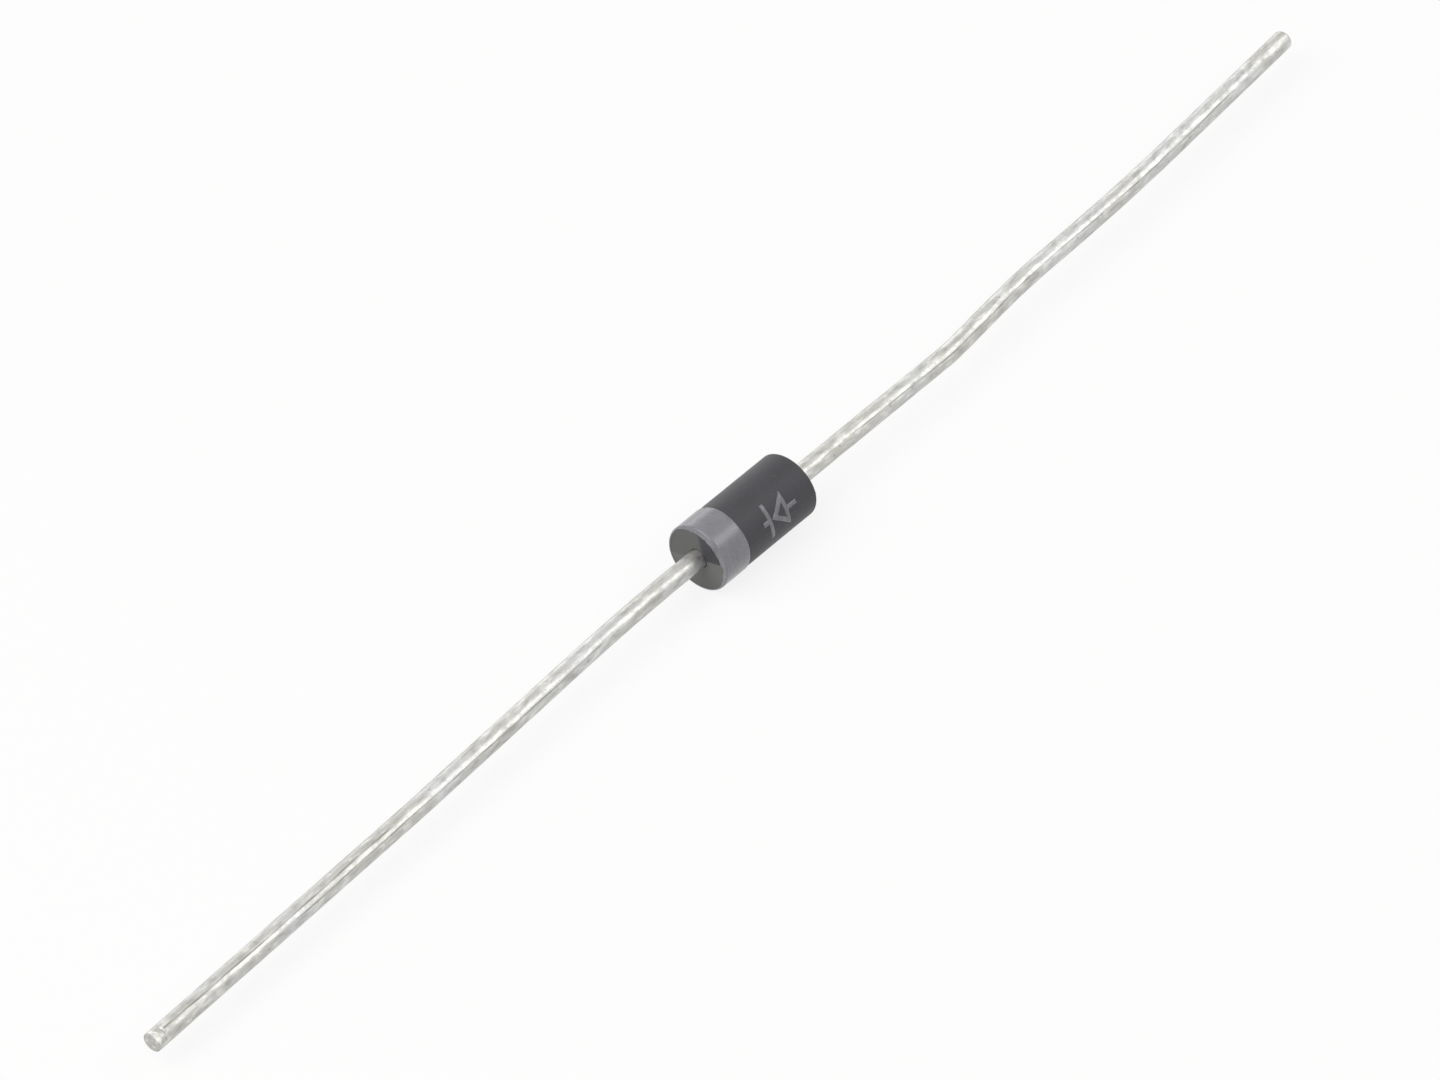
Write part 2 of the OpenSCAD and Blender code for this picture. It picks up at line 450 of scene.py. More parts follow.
@dataclass(frozen=True)
class TinnedWire:
    """Drawn copper wire, plated with matt tin and straightened by rollers.

    The plating is a soft grey metal. The die's fine lines run along it, the rollers pressed flat
    spots in it, and the tin has dulled here and there to a warm grey. The flecks carry painted
    highlights, with painted shade between them; small pits are painted shade with no hollow, and
    the die's scores are painted darker as painted shade in their grooves.
    """

    bright: str = "#c5c5c5"
    dull: str = "#bdbcb7"
    # painted highlight on the flecks, then painted shade between them
    fleck_and_painted_glint: str = "#e6e5df"
    shadow: str = "#a5a49e"
    # painted shade in the die's scores
    scored: str = "#77766f"
    # painted shade standing for small pits, which have no hollow
    painted_pit_shade: str = "#7d7a70"
    stain_mm: float = 1.3
    stain_length_mm: float = 3.9
    line_mm: float = 0.07
    line_length_mm: float = 1.6
    fleck_mm: float = 0.2
    fleck_length_mm: float = 0.65
    dapple_mm: float = 0.22
    pit_mm: float = 0.55
    relief_mm: float = 0.011
    fleck_share: float = 0.7
    roughness: tuple[float, float] = (0.34, 0.52)

    def build(self) -> bpy.types.Material:
        """Builds the node material.

        Returns:
            The material of the two leads.
        """
        m = new_material("tinned_copper_wire")
        along = add_node(m, "ShaderNodeAttribute", {"attribute_name": "wire_space"}).outputs["Vector"]
        score = add_node(m, "ShaderNodeAttribute", {"attribute_name": "score"}).outputs["Fac"]
        stretches = (
            (self.stain_length_mm, self.stain_mm),
            (self.line_length_mm, self.line_mm),
            (self.fleck_length_mm, self.fleck_mm),
        )
        patterns = []
        for length, width in stretches:
            scale = (per_mm(length), per_mm(width), per_mm(width))
            space = add_node(m, "ShaderNodeMapping", inputs={"Vector": along, "Scale": scale}).outputs[0]
            noise = add_node(m, "ShaderNodeTexNoise", inputs={"Vector": space, "Scale": 1.0, "Detail": 3.0})
            patterns.append(noise.outputs["Fac"])
        stain, line, fleck_and_painted_glint = patterns
        dapple = add_node(
            m,
            "ShaderNodeTexNoise",
            inputs={"Vector": along, "Scale": per_mm(self.dapple_mm), "Detail": 3.0, "Roughness": 0.55},
        ).outputs["Fac"]
        # spots of painted shade for small pits
        spots = {"Vector": along, "Scale": per_mm(self.pit_mm), "Randomness": 1.0}
        painted_pit_shade = add_node(m, "ShaderNodeTexVoronoi", inputs=spots).outputs["Distance"]
        layers = (
            Layer(stain, 0.38, 0.62, self.dull),
            Layer(painted_pit_shade, 0.13, 0.05, self.painted_pit_shade, 0.45),
            # painted highlight on the flecks and painted shade between them
            Layer(fleck_and_painted_glint, 0.53, 0.66, self.fleck_and_painted_glint, 0.6),
            Layer(fleck_and_painted_glint, 0.46, 0.33, self.shadow, 0.7),
            # painted shade along the die's scores
            Layer(score, 0.0, 1.0, self.scored),
        )
        relief = add_node(
            m, "ShaderNodeMix", {"data_type": "FLOAT"}, {0: self.fleck_share, 2: line, 3: fleck_and_painted_glint}
        ).outputs[0]
        low, high = self.roughness
        rough_range = {"From Min": 0.3, "From Max": 0.7, "To Min": low, "To Max": high}
        rough = add_node(m, "ShaderNodeMapRange", inputs={"Value": dapple, **rough_range})
        values = {
            "Base Color": lay_colours(m, self.bright, layers),
            "Metallic": 1.0,
            "Roughness": rough.outputs[0],
        }
        return close_surface(m, relief, self.relief_mm, 0.8, values)


@dataclass(frozen=True)
class InnerFinish:
    """Finish of a piece that the barrel hides: the silicon, the solder or the silicone.

    Lapped silicon is a dark blue grey mirror with saw lines, reflowed solder is a soft bright
    grey with a frosted grain, and cured silicone is a milky, slightly glossy rubber.
    """

    name: str
    light: str
    dark: str
    grain_mm: float
    metallic: float
    roughness: float
    relief_mm: float

    def build(self) -> bpy.types.Material:
        """Builds the node material.

        Returns:
            The material of one hidden piece.
        """
        m = new_material(self.name)
        space = add_node(m, "ShaderNodeTexCoord").outputs["Object"]
        grain = add_node(
            m,
            "ShaderNodeTexNoise",
            inputs={"Vector": space, "Scale": per_mm(self.grain_mm), "Detail": 4.0, "Roughness": 0.6},
        ).outputs["Fac"]
        values = {
            "Base Color": lay_colours(m, self.light, (Layer(grain, 0.35, 0.65, self.dark),)),
            "Metallic": self.metallic,
            "Roughness": self.roughness,
        }
        return close_surface(m, grain, self.relief_mm, 0.5, values)


@dataclass(frozen=True)
class StudioPaper:
    """Seamless white paper sweep under the part.

    What sees it directly or in a reflection finds it pure white. Only a share of the shadow that
    the part throws on it is kept.
    """

    paper: str = "#f4f4f4"
    shadow_share: float = 0.16
    fibre_mm: float = 0.8
    relief_mm: float = 0.01

    def build(self) -> bpy.types.Material:
        """Builds the node material.

        Returns:
            The material of the floor.
        """
        m = new_material("studio_paper")
        space = add_node(m, "ShaderNodeTexCoord").outputs["Object"]
        fibre = add_node(m, "ShaderNodeTexNoise", inputs={"Vector": space, "Scale": per_mm(self.fibre_mm)})
        bump = add_node(
            m,
            "ShaderNodeBump",
            inputs={"Strength": 0.1, "Distance": self.relief_mm * MM, "Height": fibre.outputs["Fac"]},
        )
        diffuse = add_node(
            m, "ShaderNodeBsdfDiffuse", inputs={"Color": linear(self.paper), "Normal": bump.outputs[0]}
        )
        white = add_node(m, "ShaderNodeEmission", inputs={"Color": WHITE, "Strength": 1.0})
        seen = seen_rays(m)
        share = add_node(
            m, "ShaderNodeMath", {"operation": "MULTIPLY"}, {0: seen, 1: 1.0 - self.shadow_share}
        )
        mixed = add_node(
            m, "ShaderNodeMixShader", inputs={0: share.outputs[0], 1: diffuse.outputs[0], 2: white.outputs[0]}
        )
        return close_material(m, mixed.outputs[0])


def seen_rays(holder: Any) -> bpy.types.NodeSocket:
    """Finds whether a ray comes from the camera or from a mirror-like or clear surface.

    Args:
        holder: Material or world whose tree gets the nodes.

    Returns:
        A socket that is 1 for such rays and 0 for others.
    """
    path = add_node(holder, "ShaderNodeLightPath")
    seen = path.outputs["Is Camera Ray"]
    for name in ("Is Glossy Ray", "Is Transmission Ray"):
        sockets = {0: seen, 1: path.outputs[name]}
        seen = add_node(holder, "ShaderNodeMath", {"operation": "MAXIMUM"}, sockets).outputs[0]
    return seen


# ---------------------------------------------------------------- barrel


class End(Enum):
    """End of the barrel, with the side of the origin on which it lies."""

    CATHODE = -1
    ANODE = 1


@dataclass(frozen=True)
class WireForm:
    """Wire of the two leads, with the nail head and the neck that the barrel holds."""

    diameter: float = 0.77
    head_diameter: float = 1.5
    head_start: float = 0.2
    head_thickness: float = 0.35
    neck_length: float = 0.2

    @property
    def radius(self) -> float:
        """Radius of the wire."""
        return self.diameter / 2

    @property
    def head_end(self) -> float:
        """Place along the axis where the head turns into the neck."""
        return self.head_start + self.head_thickness

    @property
    def neck_end(self) -> float:
        """Place along the axis where the neck has narrowed to the wire."""
        return self.head_end + self.neck_length


WIRE = WireForm()


@dataclass
class Barrel:
    """Moulded barrel, with its rims, drafted ends, flash, lead gaps and inner room."""

    diameter: float
    length: float
    rim: float = 0.04
    draft: float = math.radians(1.5)
    parting: float = math.radians(-15.0)
    flash_height: float = 0.01
    flash_width: float = 0.05
    collar_gap: float = 0.02
    collar_depth: float = 0.08
    swell: float = 0.002
    swell_along: float = 1.4
    swell_around: float = 1.1
    rub_width: float = 0.05
    rub_share: float = 0.5
    coating_end: float = 0.4
    coating_radius: float = 0.9845
    waviness: Waviness = field(default_factory=lambda: Waviness(11))

    @property
    def radius(self) -> float:
        """Radius of the barrel's side."""
        return self.diameter / 2

    def lean(self, angle: Array) -> Array:
        """Fall of the end face for each millimetre from the axis, at an angle from +Y towards +Z."""
        return np.abs(np.sin(angle - self.parting)) * math.tan(self.draft)

    def rim_arc(self, angle: Array) -> Array:
        """Length of the rim's round, from the end face to the side."""
        return self.rim * (math.pi / 2 - np.arctan(self.lean(angle)))

    def side_length(self, angle: Array) -> Array:
        """Length of the straight side, from the barrel's middle to where a rim starts."""
        lean = self.lean(angle)
        return self.length / 2 - (self.radius - self.rim) * lean - self.rim * np.sqrt(1.0 + lean**2)

    def from_parting(self, radius: Array, angle: Array) -> Array:
        """Distance from the parting plane of a place at a radius and an angle."""
        return np.abs(radius * np.sin(angle - self.parting))

    def skin(self, end: End, travel: Array, angle: Array, lift: Array | float) -> Array:
        """Places on the outside of the barrel, or above it.

        Args:
            end: End of the barrel from which the travel is measured.
            travel: Distance along the outline from where the end face turns into the rim, which
                is less than 0 on the face.
            angle: Angle round the axis, from +Y towards +Z.
            lift: Height above the surface.

        Returns:
            Points with their three coordinates on the last axis.
        """
        lean = self.lean(angle)
        tilt = np.arctan(lean)
        centre_r, centre_x, arc = self.radius - self.rim, self.side_length(angle), self.rim_arc(angle)
        turn = tilt + np.clip(travel / self.rim, 0.0, math.pi / 2 - tilt)
        inward = np.minimum(travel, 0.0)
        beyond = np.maximum(travel - arc, 0.0)
        lift = lift + self.unevenness(end, travel, angle)
        x = centre_x + (self.rim + lift) * np.cos(turn) - beyond - inward * np.sin(tilt)
        r = centre_r + (self.rim + lift) * np.sin(turn) + inward * np.cos(tilt)
        return ring(end.value * x, r, angle)

    def unevenness(self, end: End, travel: Array, angle: Array) -> Array:
        """Height of the slight sink and swell that the moulding leaves, up to about 4 micrometres.

        Args:
            end: End of the barrel from which the travel is measured.
            travel: Distance along the outline, as in skin.
            angle: Angle round the axis.

        Returns:
            Heights, zero or less, so that the barrel keeps its stated size.
        """
        x = end.value * (self.length / 2 - np.maximum(travel, 0.0))
        y, z = np.cos(angle) * self.radius, np.sin(angle) * self.radius
        wave = self.waviness.at(x / self.swell_along, y / self.swell_around, z / self.swell_around)
        return self.swell * (wave - 1.6)

    def flash(self, radius: Array, angle: Array) -> Array:
        """Height of the flash at a radius and an angle, with a slightly torn crest."""
        near = 1.0 - (self.from_parting(radius, angle) / (self.flash_width / 2)) ** 2
        torn = 0.75 + 0.25 * np.sin(9.0 * radius + 5.0 * np.cos(angle))
        return self.flash_height * torn * np.clip(near, 0.0, 1.0) ** 0.7

    def angles(self) -> Array:
        """Angles round the barrel, closer together at the two parting lines.

        Returns:
            Angles from 0 to a full turn, in order.
        """
        even = np.radians(np.arange(0.0, 360.0, 1.5))
        steps = np.radians(np.array([0.0, 0.35, 0.7, 1.05, 1.5, 2.1, 2.8, 3.6, 4.5, 5.6, 7.0]))
        near = np.concatenate([steps, -steps])
        close = np.concatenate([self.parting + near, self.parting + math.pi + near])
        return np.unique(np.round(np.mod(np.concatenate([even, close]), FULL_TURN), 5))

    def painted_light_shade(self, end: End, radius: Array, angle: Array, travel: Array) -> Array:
        """Painted light and shade on an end face, from -1 for dark to 1 for pale.

        Args:
            end: End of the barrel.
            radius: Radius of each place.
            angle: Angle of each place.
            travel: Distance along the outline, less than 0 on the face.

        Returns:
            Shades, 0 on the barrel's side.
        """
        across, above = radius * np.cos(angle - self.parting), radius * np.sin(angle - self.parting)
        upper = smoothstep(-0.05, 0.0, above)
        right = smoothstep(0.15, 0.4, -across)
        # painted light below the parting line and on the upper +Y side, painted shade on the upper -Y side;
        # weaker at the anode end
        shade = 0.75 * (1.0 - upper) - 0.2 * upper * right + 0.5 * upper * (1.0 - right)
        on_face = smoothstep(0.0, 0.02, -travel)
        return shade * on_face * (1.0 if end is End.CATHODE else 0.4)

    def half_shell(self, end: End, angle: Array) -> list[tuple[Array, Array, Array]]:
        """Rings of the outside from the lead's gap to the barrel's middle.

        Args:
            end: End of the barrel.
            angle: Angles of the points of each ring.

        Returns:
            For each ring, its points, how rubbed its surface is and its painted light and shade.
        """
        face = self.radius - self.rim - (WIRE.radius + self.collar_gap)
        arc, side = self.rim_arc(angle), self.side_length(angle)
        travels = [np.full_like(angle, -face * part) for part in np.linspace(1.0, 0.0, 30)[:-1]]
        travels += [arc * part for part in np.linspace(0.0, 1.0, 9)[:-1]]
        travels += [arc + side * part for part in np.linspace(0.0, 1.0, 60)]
        rings = []
        for travel in travels:
            radius = self.radius - self.rim + np.minimum(travel, 0.0) + self.rim * (travel > 0.0)
            fin = self.flash(radius, angle)
            rub = np.exp(-(((travel - arc / 2) / self.rub_width) ** 2)) * self.rub_share
            rings.append((self.skin(end, travel, angle, fin), rub, self.painted_light_shade(end, radius, angle, travel)))
        return rings

    def bore(self, end: End, angle: Array) -> list[Array]:
        """Rings of the inner wall, from the coating's room out to the lead's gap.

        Args:
            end: End of the barrel.
            angle: Angles of the points of each ring.

        Returns:
            Points of each ring.
        """
        wire, head = WIRE.radius, WIRE.head_diameter / 2
        top = math.sqrt(self.coating_radius**2 - self.coating_end**2)
        mouth = self.length / 2 - self.collar_depth
        outline = [
            (self.coating_end, top),
            (self.coating_end, head),
            (WIRE.head_end, head),
            (WIRE.neck_end, wire),
            (mouth, wire),
            (mouth, wire + self.collar_gap),
            (mouth + self.collar_depth * 0.55, wire + self.collar_gap),
            (mouth + self.collar_depth * 0.85, wire + self.collar_gap * 1.04),
        ]
        return [ring(end.value * x, r, angle) for x, r in outline]

    def build(self, material: bpy.types.Material) -> bpy.types.Object:
        """Builds the barrel as one closed skin: inner wall, face, rim and side at each end.

        Args:
            material: Filled epoxy.

        Returns:
            The barrel.
        """
        angle = self.angles()
        bare = np.zeros_like(angle)
        rows = [(ring, bare, bare) for ring in self.bore(End.ANODE, angle)]
        rows += self.half_shell(End.ANODE, angle)
        rows += self.half_shell(End.CATHODE, angle)[-2::-1]
        rows += [(ring, bare, bare) for ring in self.bore(End.CATHODE, angle)[::-1]]
        for x in np.linspace(-self.coating_end, self.coating_end, 9)[1:-1]:
            rows.append((ring(x, math.sqrt(self.coating_radius**2 - x**2), angle), bare, bare))
        points, rubs, painted_light_shades = (np.concatenate(part) for part in zip(*rows))
        faces = band_faces(len(rows), len(angle), True, True)
        # the second attribute is painted light and shade on the end faces
        attributes = {"rub": rubs, "painted_light_shade": painted_light_shades}
        return make_piece("barrel", points, faces, material, "moulded_barrel", attributes)


# ---------------------------------------------------------------- print


def lay_ink(
    name: str,
    top: Array,
    under: Array,
    cover: Array,
    keep: Array,
    wrapped: bool,
    material: bpy.types.Material,
    replaced: str,
) -> bpy.types.Object:
    """Builds a film of ink as a closed shell from grids of its top and its underside.

    Args:
        name: Name of the piece.
        top: Grid of points on the film's top.
        under: Grid of points on its underside.
        cover: How well the ink covers at each point, from 0 to 1.
        keep: Whether each cell of the grid holds ink.
        wrapped: Whether the grid's last column joins its first.
        material: Printed ink.
        replaced: CAD node that the film stands for.

    Returns:
        The film.
    """
    rows, columns = cover.shape
    count = rows * columns
    number = np.arange(count).reshape(rows, columns)
    right = np.roll(number, -1, axis=1)
    cell_rows, cell_columns = np.nonzero(keep)
    a, b = number[cell_rows, cell_columns], right[cell_rows, cell_columns]
    c, d = right[cell_rows + 1, cell_columns], number[cell_rows + 1, cell_columns]
    quads = [np.stack([a, b, c, d], axis=1), np.stack([d, c, b, a], axis=1) + count]
    held = np.zeros((keep.shape[0] + 2, keep.shape[1] + 2), dtype=bool)
    held[1:-1, 1:-1] = keep
    if wrapped:
        held[1:-1, 0], held[1:-1, -1] = keep[:, -1], keep[:, 0]
    edges = {(-1, 0): (a, b), (1, 0): (c, d), (0, 1): (b, c), (0, -1): (d, a)}
    for (down, across), (first, second) in edges.items():
        open_side = ~held[cell_rows + 1 + down, cell_columns + 1 + across]
        p, q = first[open_side], second[open_side]
        quads.append(np.stack([q, p, p + count, q + count], axis=1))
    faces = np.concatenate(quads)
    used, places = np.unique(faces, return_inverse=True)
    points = np.concatenate([top.reshape(-1, 3), under.reshape(-1, 3)])[used]
    covers = np.concatenate([cover.ravel(), cover.ravel()])[used]
    corners = [tuple(face) for face in places.reshape(-1, 4).tolist()]
    return make_piece(name, points, corners, material, replaced, {"cover": covers})


@dataclass
class CathodeBand:
    """Ring of ink at the cathode end, which the roller carried over the rim on to the end face."""

    barrel: Barrel
    ink: float
    width: float
    smear: float = 0.29
    smear_roll: float = math.radians(38.0)
    chip_height: float = 0.34
    chip_width: float = 0.1
    chip_inset: float = 0.14
    sink: float = 0.004
    edge_wander: float = 0.009
    around: int = 600
    unevenness: Waviness = field(default_factory=lambda: Waviness(23))

    def inner_edge(self, angle: Array) -> Array:
        """Travel at which the ink starts on the end face, less than 0, at each angle."""
        turn = angle - math.pi / 2 - self.smear_roll
        radius = self.barrel.radius
        clear = -self.smear * np.cos(turn) + np.sqrt(radius**2 - (self.smear * np.sin(turn)) ** 2)
        edge = np.minimum(clear - (radius - self.barrel.rim), -0.012)
        y, z = np.cos(angle) * radius, np.sin(angle) * radius
        return edge * (1.0 + 0.10 * self.unevenness.at(y / 0.35, z / 0.35, 4.0))

    def build(self, material: bpy.types.Material) -> bpy.types.Object:
        """Builds the ring as a closed film that thins out towards both of its edges.

        Args:
            material: Printed ink.

        Returns:
            The ring.
        """
        barrel = self.barrel
        angle = np.linspace(0.0, FULL_TURN, self.around, endpoint=False)[None, :]
        y, z = np.cos(angle) * barrel.radius, np.sin(angle) * barrel.radius
        arc, first = barrel.rim_arc(angle), self.inner_edge(angle)
        last = arc + self.width - (barrel.length / 2 - barrel.side_length(angle))
        last = last + self.edge_wander * (self.unevenness.at(y / 0.5, z / 0.5) - 1.0)
        on_face = first * np.linspace(1.0, 0.0, 18)[:-1, None]
        on_rim = arc * np.linspace(0.0, 1.0, 8)[:-1, None]
        on_side = arc + (last - arc) * (1.0 - (1.0 - np.linspace(0.0, 1.0, 48)[:, None]) ** 1.4)
        travel = np.concatenate([on_face, on_rim, on_side])
        wide_angle = angle + 0.0 * travel
        inset = np.minimum(travel - first, last - travel)
        film = 0.4 + 0.6 * smoothstep(0.0, 0.05, inset)
        chip, bead = self.chip_and_bead(travel, wide_angle)
        cover = smoothstep(0.0, 0.03, inset + 0.02) * (1.0 - chip)
        thickness = self.ink * np.minimum(film + 0.6 * bead, 1.0) * (1.0 - chip) - self.sink * 0.5 * chip
        top = barrel.skin(End.CATHODE, travel, wide_angle, thickness)
        under = barrel.skin(End.CATHODE, travel, wide_angle, -self.sink)
        keep = np.ones((travel.shape[0] - 1, travel.shape[1]), dtype=bool)
        grids = [grid[:, ::-1] for grid in (top, under, cover)]
        return lay_ink("cathode_ring", *grids, keep, True, material, "cathode_band")

    def chip_and_bead(self, travel: Array, angle: Array) -> tuple[Array, Array]:
        """How far the ink has flaked off, and how far it has gathered to a bead, at each place.

        Args:
            travel: Distance along the outline.
            angle: Angle round the axis.

        Returns:
            Two shares from 0 to 1, with narrow borders.
        """
        radius = self.barrel.radius - self.barrel.rim + np.minimum(travel, 0.0)
        across = radius * np.cos(angle - self.barrel.parting) + self.barrel.radius - self.chip_inset
        below = -radius * np.sin(angle - self.barrel.parting)
        from_middle = np.hypot(
            (across - self.chip_width / 2) / (self.chip_width / 2),
            (below - self.chip_height / 2) / (self.chip_height / 2),
        )
        ragged = 0.12 * self.unevenness.at(across / 0.07, below / 0.07, 1.0)
        on_face = smoothstep(0.0, 0.03, -travel)
        chip = (1.0 - smoothstep(0.8, 1.1, from_middle + ragged)) * on_face
        bead = np.exp(-(((across - 0.03) / 0.05) ** 2) - ((below - self.chip_height - 0.05) / 0.06) ** 2)
        return chip, bead * on_face


@dataclass
class DiodeSign:
    """Printed diode sign: an open triangle that points at a bar, with a line on each side."""

    barrel: Barrel
    ink: float
    length: float
    height: float
    line: float = 0.2
    middle: float = 0.63
    roll: float = math.radians(62.0)
    pitch: float = 0.0125
    margin: float = 0.06
    spread: float = 0.012
    sink: float = 0.006
    unevenness: Waviness = field(default_factory=lambda: Waviness(37))

    def inside(self, x: Array, v: Array) -> Array:
        """Distance inside the sign's outline, less than 0 outside it.

        Args:
            x: Place along the barrel from the sign's middle.
            v: Place across it.

        Returns:
            Distances in millimetres.
        """
        tip, base = -self.length / 4, self.length / 4
        slope = self.height / 2 / (base - tip)
        side = ((x - tip) * slope - np.abs(v)) / math.hypot(1.0, slope)
        triangle = np.minimum(side, base - x)
        outline = np.minimum(triangle, self.line - triangle)
        bar = np.minimum(self.line / 2 - np.abs(x - (tip - self.line / 2)), self.height / 2 - np.abs(v))
        half = self.line / 2 - np.abs(v)
        left = np.minimum(half, np.minimum(x + self.length / 2, tip - x))
        right = np.minimum(half, np.minimum(self.length / 2 - x, x - (base - self.line)))
        return np.maximum.reduce([outline, bar, left, right])

    def build(self, material: bpy.types.Material) -> bpy.types.Object:
        """Builds the sign as one closed film.

        Args:
            material: Printed ink.

        Returns:
            The sign.
        """
        barrel = self.barrel
        half_x, half_v = self.length / 2 + self.margin, self.height / 2 + self.margin
        x = np.arange(-half_x, half_x, self.pitch)[:, None]
        v = np.arange(-half_v, half_v, self.pitch)[None, :]
        wobble = 0.010 * self.unevenness.at(x / 0.22, v / 0.22)
        wobble = wobble + 0.005 * self.unevenness.at(x / 0.07, v / 0.07, 3.0)
        depth = self.inside(x, v) + wobble
        reach = smoothstep(-self.spread, 0.02, depth)
        thickness = (self.ink + self.sink) * (0.25 + 0.75 * smoothstep(0.0, 0.05, depth)) * reach - self.sink
        cover = smoothstep(-0.01, 0.03, depth) * (0.74 + 0.18 * self.unevenness.at(x / 0.3, v / 0.3, 7.0))
        angle = math.pi / 2 + self.roll + np.arcsin(v / barrel.radius) + 0.0 * x
        travel = barrel.rim_arc(angle) + barrel.side_length(angle) - (self.middle + x)
        top = barrel.skin(End.ANODE, travel, angle, thickness)
        under = barrel.skin(End.ANODE, travel, angle, -self.sink)
        keep = (depth[:-1, :] > -self.spread) | (depth[1:, :] > -self.spread)
        keep = keep | np.roll(keep, -1, axis=1)
        keep[:, -1] = False
        cover = np.clip(cover, 0.0, 1.0)
        return lay_ink("diode_sign", top, under, cover, keep, False, material, "polarity_mark")


# ---------------------------------------------------------------- leads


@dataclass(frozen=True)
class Run:
    """Straight stretch of wire and the bend after it, in millimetres and degrees."""

    straight: float
    bend: float = 0.0
    bend_radius: float = 0.0


@dataclass(frozen=True)
class Score:
    """Fine line that a grain in the drawing die scratched along the wire."""

    angle: float
    start: float
    end: float
    width: float = 0.05
    depth: float = 0.008


@dataclass
class Lead:
    """Plated wire lead: nail head, neck and a wire that follows its runs to the free end."""

    name: str
    node: str
    side: End
    roll: float
    reach: float
    runs: tuple[Run, ...]
    scores: tuple[Score, ...]
    end_cut: Callable[[Array, Array, Array, Array], Array]
    seed: int
    barrel_end: float = 2.55
    around: int = 120
    pitch: float = 0.06
    fine_length: float = 1.2
    fine_rows: int = 90
    dents: int = 150
    score_fade: float = 0.6

    def length(self) -> float:
        """Length of the wire's centreline from the origin's plane to the free end."""
        return self.barrel_end + self.reach

    def centreline(self, s: Array) -> tuple[Array, Array, Array]:
        """Follows the wire's centreline, in the plane that it is bent in.

        Args:
            s: Distances from the barrel's middle along the wire.

        Returns:
            Place along the axis, place across it and heading at each distance.
        """
        x, y, heading = s.copy(), np.zeros_like(s), np.zeros_like(s)
        at_x, at_y, at_heading, at_s = 0.0, 0.0, 0.0, 0.0
        for index, run in enumerate((*self.runs, Run(0.0))):
            straight = run.straight + (self.barrel_end if index == 0 else 0.0)
            past = s - at_s
            here = past >= 0.0
            x = np.where(here, at_x + past * math.cos(at_heading), x)
            y = np.where(here, at_y + past * math.sin(at_heading), y)
            heading = np.where(here, at_heading, heading)
            at_x += straight * math.cos(at_heading)
            at_y += straight * math.sin(at_heading)
            at_s += straight
            if run.bend:
                turn = math.radians(run.bend)
                way = math.copysign(1.0, turn)
                past = np.clip(s - at_s, 0.0, abs(turn) * run.bend_radius)
                here = s >= at_s
                now = at_heading + way * past / run.bend_radius
                x = np.where(here, at_x + way * run.bend_radius * (np.sin(now) - math.sin(at_heading)), x)
                y = np.where(here, at_y - way * run.bend_radius * (np.cos(now) - math.cos(at_heading)), y)
                heading = np.where(here, now, heading)
                end = at_heading + turn
                at_x += way * run.bend_radius * (math.sin(end) - math.sin(at_heading))
                at_y -= way * run.bend_radius * (math.cos(end) - math.cos(at_heading))
                at_heading = end
                at_s += abs(turn) * run.bend_radius
        return x, y, heading

    def place(self, local: Array) -> Array:
        """Bends unbent wire coordinates along the centreline and puts them in the part's frame.

        Args:
            local: Distance along the wire and the two coordinates across it, on the last axis.

        Returns:
            Points in the part's frame, in millimetres.
        """
        s, p, q = local[..., 0], local[..., 1], local[..., 2]
        x, y, heading = self.centreline(s)
        along = x - p * np.sin(heading)
        across = y + p * np.cos(heading)
        return np.stack(
            [
                self.side.value * along,
                across * math.cos(self.roll) - q * math.sin(self.roll),
                across * math.sin(self.roll) + q * math.cos(self.roll),
            ],
            axis=-1,
        )

    def worn_radius(self, s: Array, angle: Array) -> Array:
        """Radius of the wire with drawn lines, roller flats and small dents.

        Args:
            s: Distance along the wire.
            angle: Angle round it.

        Returns:
            Radii that are never more than the wire's own.
        """
        rng = np.random.default_rng(self.seed)
        wave = Waviness(self.seed + 1)
        y, z = np.cos(angle) * WIRE.radius, np.sin(angle) * WIRE.radius
        depth = 0.0014 * (1.0 + wave.at(s / 3.2, y / 0.22, z / 0.22))
        depth = depth + 0.0010 * (1.0 + wave.at(s / 0.55 + 7.0, y / 0.3, z / 0.3))
        nearest, farthest = self.barrel_end + 0.2, self.length() - 0.5
        for _ in range(self.dents):
            where, turn = rng.uniform(nearest, farthest), rng.uniform(0.0, FULL_TURN)
            long, wide = rng.uniform(0.08, 0.45), rng.uniform(0.05, 0.13)
            deep = rng.uniform(0.002, 0.007)
            off = half_turns(angle - turn) * WIRE.radius
            depth = depth + deep * np.exp(-(((s - where) / long) ** 2) - (off / wide) ** 2)
        for score in self.scores:
            depth = depth + score.depth * self.scored(score, s, angle)
        fade = smoothstep(self.barrel_end - 0.2, self.barrel_end + 0.1, s)
        return WIRE.radius - np.maximum(depth, 0.0) * fade

    def scored(self, score: Score, s: Array, angle: Array) -> Array:
        """How far a place lies in a score, from 0 to 1.

        Args:
            score: The line.
            s: Distance along the wire.
            angle: Angle round it.

        Returns:
            Shares from 0 to 1.
        """
        drift = 0.02 * np.sin(0.45 * s + score.angle) + 0.008 * np.sin(1.9 * s)
        off = half_turns(angle - score.angle + self.roll) * WIRE.radius - drift
        strength = 0.75 + 0.25 * np.sin(2.3 * s + 1.7 * np.sin(0.8 * s))
        fade = self.score_fade
        ends = smoothstep(score.start, score.start + fade, s)
        ends = ends * (1.0 - smoothstep(score.end - fade, score.end, s))
        return np.exp(-((off / (score.width / 2)) ** 2)) * strength * ends

